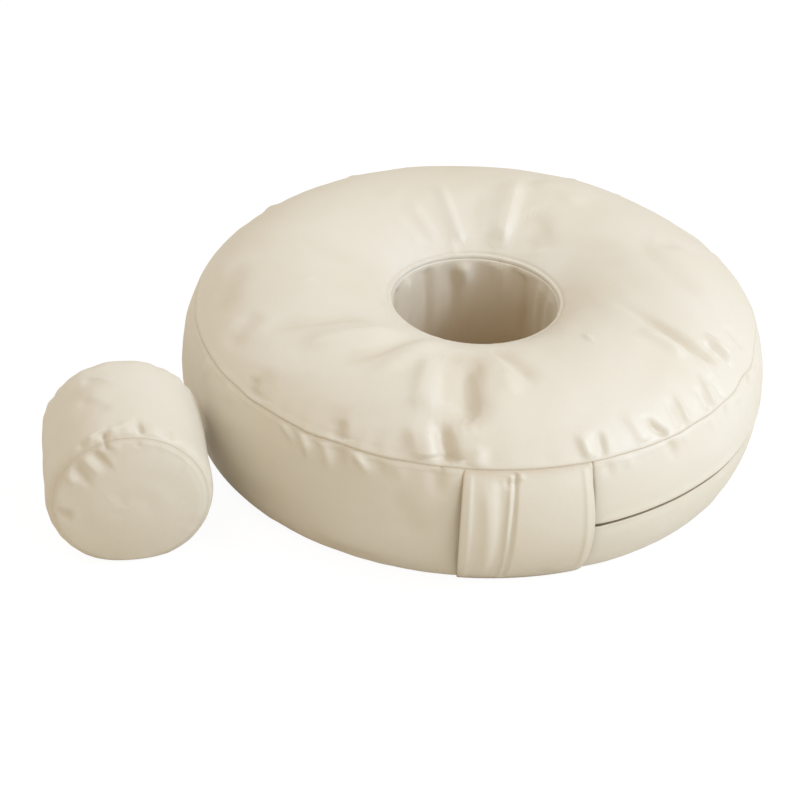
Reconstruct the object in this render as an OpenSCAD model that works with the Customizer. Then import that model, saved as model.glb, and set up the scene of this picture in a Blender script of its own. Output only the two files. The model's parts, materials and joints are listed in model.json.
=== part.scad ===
// Ring cushion with a short loose bolster that fits its well.
// Sewn covers, zipped inner liners and loose filling, in millimetres.
// Origin: centre of the ring's hole at floor level. +Z up, front towards -Y.

/* [Ring] */
// Widest diameter of the ring
ring_d = 700; // [600:10:800]
// Diameter of the hole through the ring
hole_d = 198; // [180:2:220]
// Height of the ring at the top of its crown
crown_h = 198; // [180:1:215]
// Height of the seam between the side wall and the top panel
wall_h = 148; // [130:1:160]
// How far the side wall bulges past its seams
wall_bulge = 16; // [10:1:24]
// How far the crown's highest circle lies inside the middle of the top panel
crown_shift = 2; // [0:1:6]

/* [Carry handle] */
// Where the handle starts, as an angle about +Z from +X
handle_start = -90; // [-95:1:-85]
// Angle that the handle covers
handle_sweep = 23.5; // [15:0.5:26]
// How far the handle's middle stands off its own ends
handle_bulge = 26; // [20:1:34]
// Thickness of each of the handle's two layers
handle_t = 1.2; // [0.8:0.1:1.6]

/* [Bolster] */
// Diameter of the bolster at its middle
bolster_d = 180; // [160:2:186]
// Length of the bolster between the tips of its domed ends
bolster_len = 166; // [150:2:200]
// How far each end panel domes past its seam
end_dome = 8; // [4:1:12]
// How much smaller the end seams are than the middle, in radius
end_pull = 6; // [3:1:9]
// How far the resting bolster has settled flat on the floor
settle = 8; // [4:1:12]
// Where the bolster rests beside the ring, left of the hole's centre
bolster_left = 372; // [370:1:420]
// Where the bolster rests beside the ring, in front of the hole's centre
bolster_front = 274; // [272:1:320]
// Turn of the bolster's axis about +Z
bolster_turn = 14.4; // [10:0.2:20]

/* [Covers and filling] */
// Thickness of the cover material
cover_t = 1.2; // [0.8:0.1:1.4]
// Gap between the cover and the liner, which holds the seam allowances
liner_gap = 1.8; // [1.6:0.1:2.4]
// Gap between the cover and the liner behind a zip
zip_gap = 9.8; // [9:0.1:12]
// Thickness of the fabric liner
liner_t = 1; // [0.6:0.1:1.2]
// Diameter of the sewing thread
thread_d = 0.8; // [0.6:0.1:1]

/* [Zips] */
// Width of the slit that the slider's bridge runs in
slot_w = 5; // [4.5:0.1:6]
// Height of the ring zip above the floor
zip_h = 72.5; // [65:0.5:85]
// Angle that the ring zip covers
zip_sweep = 176; // [120:1:190]
// Length of the bolster zip
bolster_zip_len = 110; // [90:1:112]
// Angle from the bolster's top down to its zip
bolster_zip_down = 112; // [105:1:118]
// Width of each zip tape
tape_w = 11; // [10:0.5:13]
// Length of each pull tab
pull_len = 26; // [20:1:30]

/* [Hidden] */
$fn = 144;

// Side wall: an arc through its two seams and its widest circle
ring_r = ring_d / 2;
hole_r = hole_d / 2;
seam_r = ring_r - wall_bulge;
wall_mid = wall_h / 2;
wall_arc_r = (wall_bulge ^ 2 + wall_mid ^ 2) / (2 * wall_bulge);
wall_arc_x = ring_r - wall_arc_r;

// Crown: an arc from the hole's seam over the top to the outer seam
crown_r = (seam_r + hole_r) / 2 - crown_shift;
crown_rise = crown_h - wall_h;
crown_arc_r = ((seam_r - crown_r) ^ 2 + crown_rise ^ 2) / (2 * crown_rise);
crown_arc_z = crown_h - crown_arc_r;
hole_h = crown_arc_z + sqrt(crown_arc_r ^ 2 - (hole_r - crown_r) ^ 2);

// Insets from the cover's outer face
liner_in = cover_t + liner_gap;
zip_liner_in = cover_t + zip_gap;
filling_gap = 0.2;
thread_in = cover_t + liner_gap / 2;
thread_off_seam = 6;
split_r = (ring_r + hole_r) / 2;
big = ring_d;

// Zip: distances below the cover's outer face, and widths across the slit
lip_w = 8;
slot_edge = slot_w / 2;
allowance_x = slot_edge + lip_w;
allowance_w = 3.5;
coil_in = 0.6;
coil_out = 3;
coil_deep = 6.7;
tape_deep = 5.3;
tape_top = 4.5;
front_plate_deep = 4.1;
back_plate_deep = 8;
plate_t = 1.1;
slider_w = 10;
slider_l = 9;
post_w = 0.8;
post_l = 3;
bridge_w = 3;
bridge_l = 4;
bridge_top = 3.4;
bar_up = 2;
bar_r = 0.8;
bar_play = 0.05;
tab_w = 8;
tab_t = 1.2;
tab_window_l = 8;
stop_l = 2;
stop_t = 1.2;
stop_w = 8;
zip_end_gap = 3;
slider_play = 0.5;
facing_deep = 2.8;

// Places and sweeps
handle_end = handle_start + handle_sweep;
zip_start = handle_end + 0.5;
zip_end = zip_start + zip_sweep;
slider_from_end = zip_end_gap + stop_l + slider_play + slider_l / 2;
slider_step = slider_from_end / ring_r * 180 / PI;
stop_step = (zip_end_gap + stop_l / 2) / ring_r * 180 / PI;

// Handle: an arc from the top seam to the bottom seam, clear of the wall
handle_low = 1;
handle_high = wall_h - 1;
handle_mid = (handle_low + handle_high) / 2;
handle_half = (handle_high - handle_low) / 2;
handle_arc_r = (handle_bulge ^ 2 + handle_half ^ 2) / (2 * handle_bulge);
handle_foot = 0.1;
wall_r_at_end = wall_arc_x + sqrt(wall_arc_r ^ 2 - handle_half ^ 2);
handle_arc_x = wall_r_at_end + handle_foot + handle_bulge - handle_arc_r;

// Bolster
bolster_r = bolster_d / 2;
bolster_axis_h = bolster_r - settle;
end_r = bolster_r - end_pull;
end_seam_y = bolster_len / 2 - end_dome;
shoulder_r = 30;
shoulder_x = bolster_r - shoulder_r;
shoulder_y = end_seam_y - sqrt(shoulder_r ^ 2 - (end_r - shoulder_x) ^ 2);
end_arc_r = (end_r ^ 2 + end_dome ^ 2) / (2 * end_dome);
end_arc_y = bolster_len / 2 - end_arc_r;
bolster_slider_y = bolster_zip_len / 2 - slider_from_end;
bolster_stop_y = bolster_zip_len / 2 - zip_end_gap - stop_l / 2;

// Colours
cream = "#E8DFCC";
cream_lining = "#D9CCB2";
liner_white = "#F2F0EA";
filling_white = "#FAFAF7";
tape_beige = "#D8CBAF";
coil_beige = "#C9BB9C";
nickel = "#B9B8B4";
thread_cream = "#EFE8D8";

// ---- Ring sections, drawn as radius against height ----

// The ring's section, inset from the cover's outer face
module ring_section(inset, wall_inset) {
  intersection() {
    translate([wall_arc_x, wall_mid]) circle(r = wall_arc_r - wall_inset);
    translate([crown_r, crown_arc_z]) circle(r = crown_arc_r - inset);
    translate([hole_r + inset, inset]) square(big);
  }
}

// Everything under the straight line between the two top seams
module under_seams() {
  slope = (wall_h - hole_h) / (seam_r - hole_r);
  polygon([
    [0, cover_t],
    [big, cover_t],
    [big, hole_h + slope * (big - hole_r)],
    [0, hole_h - slope * hole_r]
  ]);
}

module ring_skin() {
  difference() {
    ring_section(0, 0);
    ring_section(cover_t, cover_t);
  }
}

module wall_skin() {
  intersection() {
    ring_skin();
    under_seams();
    translate([split_r, 0]) square(big);
  }
}

// A rectangle on one side of the slit's middle: side +1 is above, -1 is below
module across(side, from, width, r_low, r_size) {
  translate([r_low, zip_h + (side > 0 ? from : -from - width)])
    square([r_size, width]);
}

// The folded edge of the slit, and the allowance that the tape is sewn to
module wall_lip(side) {
  intersection() {
    difference() {
      ring_section(cover_t, cover_t);
      ring_section(2 * cover_t, 2 * cover_t);
    }
    across(side, slot_edge, lip_w, split_r, big);
  }
  intersection() {
    ring_section(cover_t, cover_t);
    across(side, allowance_x, allowance_w, ring_r - tape_top, big);
  }
}

module above_slit() {
  translate([0, zip_h + slot_edge]) square(big);
}

module below_slit() {
  translate([0, zip_h - slot_edge - big]) square(big);
}

module ring_turn(start, sweep) {
  rotate_extrude(angle = sweep, start = start) children();
}

module full_turn() {
  rotate_extrude(angle = 360, start = 0) children();
}

// ---- Ring cover ----

module ring_top_panel() {
  color(cream) full_turn() difference() {
    ring_skin();
    under_seams();
    square([big, cover_t]);
  }
}

module ring_bottom_panel() {
  color(cream_lining) full_turn() intersection() {
    ring_section(0, 0);
    square([big, cover_t]);
  }
}

// The plain stretch of side wall, behind the handle and round the left side
module ring_wall_panel() {
  color(cream) ring_turn(zip_end, 360 - zip_sweep) wall_skin();
}

// The strip above the slit, with its folded lip
module ring_wall_upper() {
  color(cream) ring_turn(zip_start, zip_sweep) {
    intersection() {
      wall_skin();
      above_slit();
    }
    wall_lip(1);
  }
}

// The strip below the slit, with its folded lip
module ring_wall_lower() {
  color(cream) ring_turn(zip_start, zip_sweep) {
    intersection() {
      wall_skin();
      below_slit();
    }
    wall_lip(-1);
  }
}

module ring_hole_wall() {
  color(cream) full_turn() intersection() {
    ring_skin();
    under_seams();
    square([split_r, big]);
  }
}

// ---- Carry handle: a wide band sewn in at its top and bottom only ----

module handle_layer(inner) {
  ring_turn(handle_start, handle_sweep) intersection() {
    translate([handle_arc_x, handle_mid]) difference() {
      circle(r = handle_arc_r + inner + handle_t);
      circle(r = handle_arc_r + inner);
    }
    translate([split_r, handle_low]) square([big, handle_high - handle_low]);
  }
}

module handle_lining() {
  color(cream_lining) handle_layer(0);
}

module handle_face() {
  color(cream) handle_layer(handle_t);
}

// ---- Inside the ring ----

module ring_liner() {
  color(liner_white) full_turn() difference() {
    ring_section(liner_in, zip_liner_in);
    ring_section(liner_in + liner_t, zip_liner_in + liner_t);
  }
}

module ring_filling() {
  inset = liner_in + liner_t + filling_gap;
  color(filling_white) full_turn()
    ring_section(inset, inset + zip_gap - liner_gap);
}

module ring_thread(r, z) {
  color(thread_cream) full_turn() translate([r, z]) circle(d = thread_d);
}

// Height of the crown at a radius, inset from the cover's outer face
function crown_at(r, inset) =
  crown_arc_z + sqrt((crown_arc_r - inset) ^ 2 - (r - crown_r) ^ 2);

module ring_thread_top_outer() {
  r = seam_r - thread_off_seam;
  ring_thread(r, crown_at(r, thread_in));
}

module ring_thread_top_hole() {
  r = hole_r + thread_off_seam;
  ring_thread(r, crown_at(r, thread_in));
}

module ring_thread_bottom_outer() {
  ring_thread(seam_r - thread_off_seam, thread_in);
}

module ring_thread_bottom_hole() {
  ring_thread(hole_r + thread_off_seam, thread_in);
}

// ---- Zip pieces in a flat frame: x across the slit, y along it,
// ---- z outwards from the cover's outer face

module zip_slider() {
  color(nickel) {
    translate([-slider_w / 2, -slider_l / 2, -front_plate_deep])
      cube([slider_w, slider_l, plate_t]);
    translate([-slider_w / 2, -slider_l / 2, -back_plate_deep])
      cube([slider_w, slider_l, plate_t]);
    translate([-post_w / 2, -post_l / 2, -back_plate_deep])
      cube([post_w, post_l, back_plate_deep - front_plate_deep + plate_t]);
    difference() {
      translate([-bridge_w / 2, -bridge_l / 2, -front_plate_deep])
        cube([bridge_w, bridge_l, front_plate_deep + bridge_top]);
      translate([-bridge_w, 0, bar_up]) rotate([0, 90, 0])
        cylinder(r = bar_r + bar_play, h = 2 * bridge_w);
    }
  }
}

// The tab lies back along the slit, and its crossbar runs in the bridge's eye
module zip_pull() {
  color(nickel) translate([0, 0, bar_up]) {
    translate([-tab_w / 2, 0, 0]) rotate([0, 90, 0])
      cylinder(r = bar_r, h = tab_w);
    difference() {
      translate([-tab_w / 2, -pull_len, -tab_t / 2])
        cube([tab_w, pull_len, tab_t]);
      translate([-tab_w / 4, -tab_window_l, -tab_t])
        cube([tab_w / 2, 2 * tab_window_l, 2 * tab_t]);
    }
  }
}

module zip_stop() {
  color(nickel) translate([-stop_w / 2, -stop_l / 2, -tape_top])
    cube([stop_w, stop_l, stop_t]);
}

// ---- Ring zip ----

// Puts the flat zip frame on the ring's side at an angle about +Z
module on_ring(angle) {
  rotate([0, 0, angle]) translate([ring_r, 0, zip_h]) rotate([0, 90, 0])
    children();
}

module ring_tape(side) {
  color(tape_beige) ring_turn(zip_start, zip_sweep)
    across(side, coil_out, tape_w, ring_r - tape_deep, tape_deep - tape_top);
}

module ring_coil(side) {
  color(coil_beige) ring_turn(zip_start, zip_sweep)
    across(side, coil_in, coil_out - coil_in, ring_r - coil_deep, coil_deep - tape_top);
}

module ring_zip_tape_upper() {
  ring_tape(1);
}

module ring_zip_tape_lower() {
  ring_tape(-1);
}

module ring_zip_coil_upper() {
  ring_coil(1);
}

module ring_zip_coil_lower() {
  ring_coil(-1);
}

module ring_zip_stops() {
  on_ring(zip_start + stop_step) zip_stop();
  on_ring(zip_end - stop_step) zip_stop();
}

module ring_zip_slider() {
  on_ring(zip_end - slider_step) zip_slider();
}

module ring_zip_pull() {
  on_ring(zip_end - slider_step) zip_pull();
}

// ---- Bolster, drawn with its axis along y over the origin ----

// Half of the bolster's section, as radius against distance along its axis
module bolster_profile(inset, side_inset) {
  intersection() {
    translate([0, end_arc_y]) circle(r = end_arc_r - inset);
    translate([0, -end_arc_y]) circle(r = end_arc_r - inset);
    union() {
      translate([0, -shoulder_y]) square([bolster_r - side_inset, 2 * shoulder_y]);
      translate([0, -bolster_len / 2]) square([shoulder_x, bolster_len]);
      translate([shoulder_x, shoulder_y]) circle(r = shoulder_r - side_inset);
      translate([shoulder_x, -shoulder_y]) circle(r = shoulder_r - side_inset);
    }
    translate([0, -bolster_len]) square([bolster_len, 2 * bolster_len]);
  }
}

module bolster_solid(inset, side_inset) {
  intersection() {
    translate([0, 0, bolster_axis_h]) rotate([90, 0, 0])
      rotate_extrude(angle = 360, start = 0) bolster_profile(inset, side_inset);
    translate([-big, -big, inset]) cube(2 * big);
  }
}

module bolster_skin() {
  difference() {
    bolster_solid(0, 0);
    bolster_solid(cover_t, cover_t);
  }
}

// Stands the bolster beside the ring
module rest_bolster() {
  translate([-bolster_left, -bolster_front, 0]) rotate([0, 0, bolster_turn])
    children();
}

// Puts the flat zip frame on the bolster's side
module on_bolster(y) {
  translate([0, 0, bolster_axis_h]) rotate([0, -bolster_zip_down, 0])
    translate([0, y, bolster_r]) children();
}

// A bar along the bolster zip on one side of the slit, below the cover's face
module bolster_bar(side, from, width, deep, top) {
  on_bolster(0)
    translate([side > 0 ? from : -from - width, -bolster_zip_len / 2, -deep])
      cube([width, bolster_zip_len, deep - top]);
}

// The strip that backs one edge of the bolster's slit, down to its zip tape
module bolster_facing(side) {
  intersection() {
    translate([0, 0, bolster_axis_h]) rotate([90, 0, 0])
      cylinder(r = bolster_r - cover_t, h = bolster_zip_len, center = true);
    union() {
      bolster_bar(side, slot_edge, allowance_x - slot_edge, facing_deep, 0);
      bolster_bar(side, allowance_x, allowance_w, tape_top, 0);
    }
  }
}

module bolster_wrap() {
  color(cream) rest_bolster() difference() {
    intersection() {
      bolster_skin();
      translate([-big, -end_seam_y, 0]) cube([2 * big, 2 * end_seam_y, big]);
    }
    on_bolster(0) translate([-slot_edge, -bolster_zip_len / 2, -bolster_r / 2])
      cube([slot_w, bolster_zip_len, bolster_r]);
  }
}

module bolster_zip_facing_upper() {
  color(cream) rest_bolster() bolster_facing(1);
}

module bolster_zip_facing_lower() {
  color(cream) rest_bolster() bolster_facing(-1);
}

// Side -1 is the near end and +1 the far end
module bolster_end(side) {
  color(cream) rest_bolster() intersection() {
    bolster_skin();
    translate([-big, side > 0 ? end_seam_y : -end_seam_y - big, 0])
      cube([2 * big, big, big]);
  }
}

module bolster_end_near() {
  bolster_end(-1);
}

module bolster_end_far() {
  bolster_end(1);
}

// The end seam's outline with its flat foot, inset from the cover's outer face
module end_outline(inset) {
  intersection() {
    translate([0, bolster_axis_h]) circle(r = end_r - inset);
    translate([-big, inset]) square(2 * big);
  }
}

module bolster_thread(side) {
  outer = thread_in - thread_d / 2;
  color(thread_cream) rest_bolster()
    translate([0, side * (end_seam_y - thread_off_seam), 0]) rotate([90, 0, 0])
      linear_extrude(thread_d, center = true) difference() {
        end_outline(outer);
        end_outline(outer + thread_d);
      }
}

module bolster_thread_near() {
  bolster_thread(-1);
}

module bolster_thread_far() {
  bolster_thread(1);
}

// ---- Bolster zip ----

module bolster_tape(side) {
  color(tape_beige) rest_bolster()
    bolster_bar(side, coil_out, tape_w, tape_deep, tape_top);
}

module bolster_coil(side) {
  color(coil_beige) rest_bolster()
    bolster_bar(side, coil_in, coil_out - coil_in, coil_deep, tape_top);
}

module bolster_zip_tape_upper() {
  bolster_tape(1);
}

module bolster_zip_tape_lower() {
  bolster_tape(-1);
}

module bolster_zip_coil_upper() {
  bolster_coil(1);
}

module bolster_zip_coil_lower() {
  bolster_coil(-1);
}

module bolster_zip_stops() {
  rest_bolster() {
    on_bolster(bolster_stop_y) zip_stop();
    on_bolster(-bolster_stop_y) zip_stop();
  }
}

module bolster_zip_slider() {
  rest_bolster() on_bolster(bolster_slider_y) zip_slider();
}

module bolster_zip_pull() {
  rest_bolster() on_bolster(bolster_slider_y) zip_pull();
}

// ---- Inside the bolster ----

module bolster_liner() {
  color(liner_white) rest_bolster() difference() {
    bolster_solid(liner_in, zip_liner_in);
    bolster_solid(liner_in + liner_t, zip_liner_in + liner_t);
  }
}

module bolster_filling() {
  inset = liner_in + liner_t + filling_gap;
  color(filling_white) rest_bolster()
    bolster_solid(inset, inset + zip_gap - liner_gap);
}

ring_top_panel();
ring_bottom_panel();
ring_wall_panel();
ring_wall_upper();
ring_wall_lower();
ring_hole_wall();
handle_face();
handle_lining();
ring_zip_tape_upper();
ring_zip_tape_lower();
ring_zip_coil_upper();
ring_zip_coil_lower();
ring_zip_stops();
ring_zip_slider();
ring_zip_pull();
ring_liner();
ring_filling();
ring_thread_top_outer();
ring_thread_top_hole();
ring_thread_bottom_outer();
ring_thread_bottom_hole();
bolster_wrap();
bolster_end_near();
bolster_end_far();
bolster_thread_near();
bolster_thread_far();
bolster_zip_facing_upper();
bolster_zip_facing_lower();
bolster_zip_tape_upper();
bolster_zip_tape_lower();
bolster_zip_coil_upper();
bolster_zip_coil_lower();
bolster_zip_stops();
bolster_zip_slider();
bolster_zip_pull();
bolster_liner();
bolster_filling();
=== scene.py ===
import json
import math

import bpy
import numpy as np
from mathutils import Matrix, Vector


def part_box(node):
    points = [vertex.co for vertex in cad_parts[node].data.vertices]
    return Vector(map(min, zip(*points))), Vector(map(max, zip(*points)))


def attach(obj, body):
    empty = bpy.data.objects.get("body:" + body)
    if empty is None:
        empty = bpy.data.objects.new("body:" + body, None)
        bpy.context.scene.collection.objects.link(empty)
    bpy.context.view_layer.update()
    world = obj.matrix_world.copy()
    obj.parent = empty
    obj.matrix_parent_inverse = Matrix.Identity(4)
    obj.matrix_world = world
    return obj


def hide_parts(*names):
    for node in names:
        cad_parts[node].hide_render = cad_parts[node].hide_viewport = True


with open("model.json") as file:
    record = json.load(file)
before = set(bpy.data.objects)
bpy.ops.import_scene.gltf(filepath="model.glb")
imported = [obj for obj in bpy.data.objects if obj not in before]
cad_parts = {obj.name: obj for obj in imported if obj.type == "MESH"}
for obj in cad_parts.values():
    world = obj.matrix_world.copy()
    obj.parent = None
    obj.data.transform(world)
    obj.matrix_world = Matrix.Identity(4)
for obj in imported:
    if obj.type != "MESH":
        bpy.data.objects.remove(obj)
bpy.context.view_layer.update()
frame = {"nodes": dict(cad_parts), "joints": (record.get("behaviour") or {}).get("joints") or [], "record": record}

# Lengths are in metres, and MM turns a size in millimetres into metres.
# Angles round the ring are in degrees from its front (-Y) towards its right (+X).
MM = 0.001
record = frame["record"]
mounts = {m["name"]: m for m in record["mounts"]}
joints = {j["name"]: j for j in frame["joints"]}

# ---- Sizes, read from the frame ----

HOLE_R = mounts["core_well"]["dims"]["r_mm"] * MM
CROWN_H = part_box("ring_top_panel")[1].z
SEAM_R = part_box("ring_top_panel")[1].x
WALL_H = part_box("ring_wall_panel")[1].z
HOLE_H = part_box("ring_hole_wall")[1].z
RING_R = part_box("ring_wall_upper")[1].x
ZIP_H = (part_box("ring_zip_tape_upper")[1].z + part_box("ring_zip_tape_lower")[0].z) / 2


def arc_through(r0, z0, r1, z1, rise_r, rise_z):
    """Centre and radius of the circle through three points of the section."""
    a = np.array([[r1 - r0, z1 - z0], [rise_r - r0, rise_z - z0]]) * 2
    b = [r1**2 - r0**2 + z1**2 - z0**2, rise_r**2 - r0**2 + rise_z**2 - z0**2]
    cr, cz = np.linalg.solve(a, np.array(b))
    return cr, cz, math.hypot(r0 - cr, z0 - cz)


# The crown's highest circle lies a little inside the middle of the top panel
CROWN_SHIFT = 2 * MM
CROWN_R = (SEAM_R + HOLE_R) / 2 - CROWN_SHIFT
crown_arc = arc_through(HOLE_R, HOLE_H, SEAM_R, WALL_H, CROWN_R, CROWN_H)
wall_arc = arc_through(SEAM_R, 0, SEAM_R, WALL_H, RING_R, WALL_H / 2)


# ---- The ring's section, as four spans that meet at the four seams ----


def on_arc(arc, start, end, t):
    """Points and outward normals on an arc, t from 0 at start to 1 at end."""
    cr, cz, radius = arc
    a0 = math.atan2(start[1] - cz, start[0] - cr)
    a1 = math.atan2(end[1] - cz, end[0] - cr)
    a = a0 + (a1 - a0) * t
    normal = np.stack([np.cos(a), np.sin(a)], -1)
    return np.stack([cr + radius * np.cos(a), cz + radius * np.sin(a)], -1), normal


def on_line(start, end, t):
    start, end = np.array(start), np.array(end)
    along = (end - start) / np.linalg.norm(end - start)
    normal = np.broadcast_to(np.array([along[1], -along[0]]) * -1, (len(t), 2))
    return start + (end - start) * t[:, None], normal


HOLE_TOP = (HOLE_R, HOLE_H)
SEAM_TOP = (SEAM_R, WALL_H)
SEAM_LOW = (SEAM_R, 0.0)
HOLE_LOW = (HOLE_R, 0.0)
SPANS = {
    "top": lambda t: on_arc(crown_arc, HOLE_TOP, SEAM_TOP, t),
    "wall": lambda t: on_arc(wall_arc, SEAM_TOP, SEAM_LOW, t),
    "bottom": lambda t: on_line(SEAM_LOW, HOLE_LOW, t),
    "hole": lambda t: on_line(HOLE_LOW, HOLE_TOP, t),
}
SPAN_LENGTH = {}
for name, span in SPANS.items():
    points = span(np.linspace(0, 1, 200))[0]
    SPAN_LENGTH[name] = float(np.linalg.norm(np.diff(points, axis=0), axis=1).sum())


def turned(section, angles):
    """Revolves section vectors (r, z) to each angle: shape (angles, rows, 3)."""
    a = np.radians(angles)[:, None]
    r, z = section[:, 0][None, :], section[:, 1][None, :]
    return np.stack([r * np.sin(a), -r * np.cos(a), z + 0 * a], -1)


# ---- Meshes from grids of points ----


def grid_faces(columns, rows, loop_columns=True, loop_rows=False):
    """Quads of a grid of points, which can close on itself either way."""
    c = np.arange(columns if loop_columns else columns - 1)[:, None]
    r = np.arange(rows if loop_rows else rows - 1)[None, :]
    c1, r1 = (c + 1) % columns, (r + 1) % rows
    corners = (c * rows + r, c * rows + r1, c1 * rows + r1, c1 * rows + r)
    return np.stack(np.broadcast_arrays(*corners), -1).reshape(-1, 4)


def fan(hub, columns, rows, row, flipped):
    """Triangles from one point to each edge along a row of a grid whose columns go round."""
    c = np.arange(columns)
    c1 = (c + 1) % columns
    first, second = (c1, c) if flipped else (c, c1)
    return np.stack([np.full(columns, hub), first * rows + row, second * rows + row], 1).tolist()


def mesh_object(name, points, faces):
    mesh = bpy.data.meshes.new(name)
    faces = faces if isinstance(faces, list) else faces.tolist()
    mesh.from_pydata(np.asarray(points).reshape(-1, 3).tolist(), [], faces)
    mesh.update()
    mesh.polygons.foreach_set("use_smooth", [True] * len(mesh.polygons))
    obj = bpy.data.objects.new(name, mesh)
    bpy.context.scene.collection.objects.link(obj)
    return obj


def smooth_noise(angles, share, waves, seed, low=1):
    """Soft noise that repeats round the ring, about -1 to 1, from a few sine waves each way."""
    draw = np.random.default_rng(seed)
    a, s = np.radians(angles)[:, None], share[None, :]
    total = np.zeros((len(angles), len(share)))
    for n in range(low, waves + 1):
        for m in range(0, 4):
            size = 1 / math.sqrt(1 + n / low + m * m)
            total += size * draw.normal() * np.sin(n * a + draw.uniform(0, 6.3) + m * s * 2.2)
    return total / np.abs(total).max()


def random_waves(draw, angles, orders, falling=0.5):
    """A random curve, -1 to 1, that repeats round the part. Waves of a higher order can be lower."""
    a = np.radians(angles)
    total = sum(draw.normal() * np.sin(n * a + draw.uniform(0, 6.3)) / n**falling for n in orders)
    return total / np.abs(total).max()


# ---- Cloth: the covers are filled under pressure ----

CLOTH = {
    "quality": 5, "mass": 0.003, "tension_stiffness": 12, "compression_stiffness": 12,
    "shear_stiffness": 4, "bending_stiffness": 0.05, "use_pressure": True, "uniform_pressure_force": 60,
    "vertex_group_shrink": "slack", "shrink_max": -0.04, "vertex_group_mass": "held",
}
CLOTH_FRAMES = 14
CLOTH_SMOOTHING = 3
CLOTH_SHARE = 0.7
SEAM_STIFF = 12 * MM


def fill_with_pressure(start, faces, from_seam, cap):
    """Simulates a sewn cover blown up from inside, with its seams held and slack cloth between them.
    Returns how far each point moved, at most cap."""
    points = start.reshape(-1, 3)
    obj = mesh_object("filling_cover", points, faces)
    slack = smoothstep(from_seam.ravel() / SEAM_STIFF)
    for group, weights in (("slack", slack), ("held", (from_seam.ravel() < 1e-6) * 1.0)):
        weights = np.round(weights, 2)
        made = obj.vertex_groups.new(name=group)
        for weight in np.unique(weights):
            made.add(np.nonzero(weights == weight)[0].tolist(), float(weight), "REPLACE")
    cloth = obj.modifiers.new("cloth", "CLOTH").settings
    for name, value in CLOTH.items():
        setattr(cloth, name, value)
    cloth.effector_weights.gravity = 0
    for f in range(1, CLOTH_FRAMES + 1):
        bpy.context.scene.frame_set(f)
    result = obj.evaluated_get(bpy.context.evaluated_depsgraph_get()).to_mesh()
    moved = np.empty(len(points) * 3)
    result.vertices.foreach_get("co", moved)
    bpy.context.scene.frame_set(1)
    bpy.data.objects.remove(obj)
    move = (moved.reshape(-1, 3) - points).reshape(start.shape)
    for _ in range(CLOTH_SMOOTHING):
        move[:, 1:-1] = (move[:, :-2] + 2 * move[:, 1:-1] + move[:, 2:]) / 4
        move = (np.roll(move, 1, 0) + 2 * move + np.roll(move, -1, 0)) / 4
    move *= smoothstep(from_seam / SEAM_STIFF)[..., None]
    length = np.linalg.norm(move, axis=2)[..., None]
    return move * np.minimum(CLOTH_SHARE, cap / np.maximum(length, 1e-9))


def joined(grids, closed):
    """Grids that meet row to row, as one grid. Closed says that the last also meets the first."""
    whole = np.concatenate([g[:, :-1] for g in grids[:-1]] + [grids[-1]], 1)
    return whole[:, :-1] if closed else whole


def fill_cover(sheets, closed, cap):
    """Fills a cover made of sheets, at every second point of their grids. Each keeps its own move."""
    grids = [(s.points + s.shift)[::2, ::2] for s in sheets]
    gaps = [np.broadcast_to(s.from_seam[::2], g.shape[:2]) for s, g in zip(sheets, grids)]
    start = joined(grids, closed)
    faces = grid_faces(*start.shape[:2], loop_rows=closed)
    move = fill_with_pressure(start, faces, joined(gaps, closed), cap)
    first = 0
    for sheet, grid in zip(sheets, grids):
        rows = range(first, first + grid.shape[1])
        sheet.cloth = doubled_rows(doubled_round(np.take(move, rows, axis=1, mode="wrap")))
        first += grid.shape[1] - 1


def doubled_round(a):
    """Twice as many columns, for a grid whose columns go round."""
    middle = (9 * (a + np.roll(a, -1, 0)) - np.roll(a, 1, 0) - np.roll(a, -2, 0)) / 16
    return np.stack([a, middle], 1).reshape((2 * len(a),) + a.shape[1:])


def doubled_rows(a):
    """Each row and the one between it and the next."""
    wide = np.concatenate([2 * a[:, :1] - a[:, 1:2], a, 2 * a[:, -1:] - a[:, -2:-1]], 1)
    middle = (9 * (a[:, :-1] + a[:, 1:]) - wide[:, :-3] - wide[:, 3:]) / 16
    out = np.empty((a.shape[0], 2 * a.shape[1] - 1) + a.shape[2:])
    out[:, 0::2] = a
    out[:, 1::2] = middle
    return out


# ---- Sheets: grids of points on a surface, with a height field for folds ----


def clustered(rows, amount):
    """Shares from 0 to 1, closer together near both ends."""
    u = np.linspace(0, 1, rows)
    return u - amount / (2 * math.pi) * np.sin(2 * math.pi * u)


def smoothstep(x):
    x = np.clip(x, 0, 1)
    return x * x * (3 - 2 * x)


def bell(x, width):
    """1 at 0, and soon 0 past the width on either side."""
    return np.exp(-((x / width) ** 2))


def window(x, low, high, soft):
    """1 between two limits and 0 outside them, eased over a soft edge."""
    return smoothstep((x - low) / soft) * smoothstep((high - x) / soft)


def smooth_path(nodes, steps=24):
    """A Catmull-Rom curve through the nodes."""
    n = np.asarray(nodes, float)
    n = np.vstack([2 * n[0] - n[1], n, 2 * n[-1] - n[-2]])
    out = []
    for i in range(1, len(n) - 2):
        t = np.linspace(0, 1, steps, endpoint=False)[:, None]
        a, b, c, d = n[i - 1], n[i], n[i + 1], n[i + 2]
        out.append(0.5 * (2 * b + (c - a) * t + (2 * a - 5 * b + 4 * c - d) * t**2
                          + (3 * b - a - 3 * c + d) * t**3))
    return np.vstack(out + [n[-2][None]])


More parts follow.
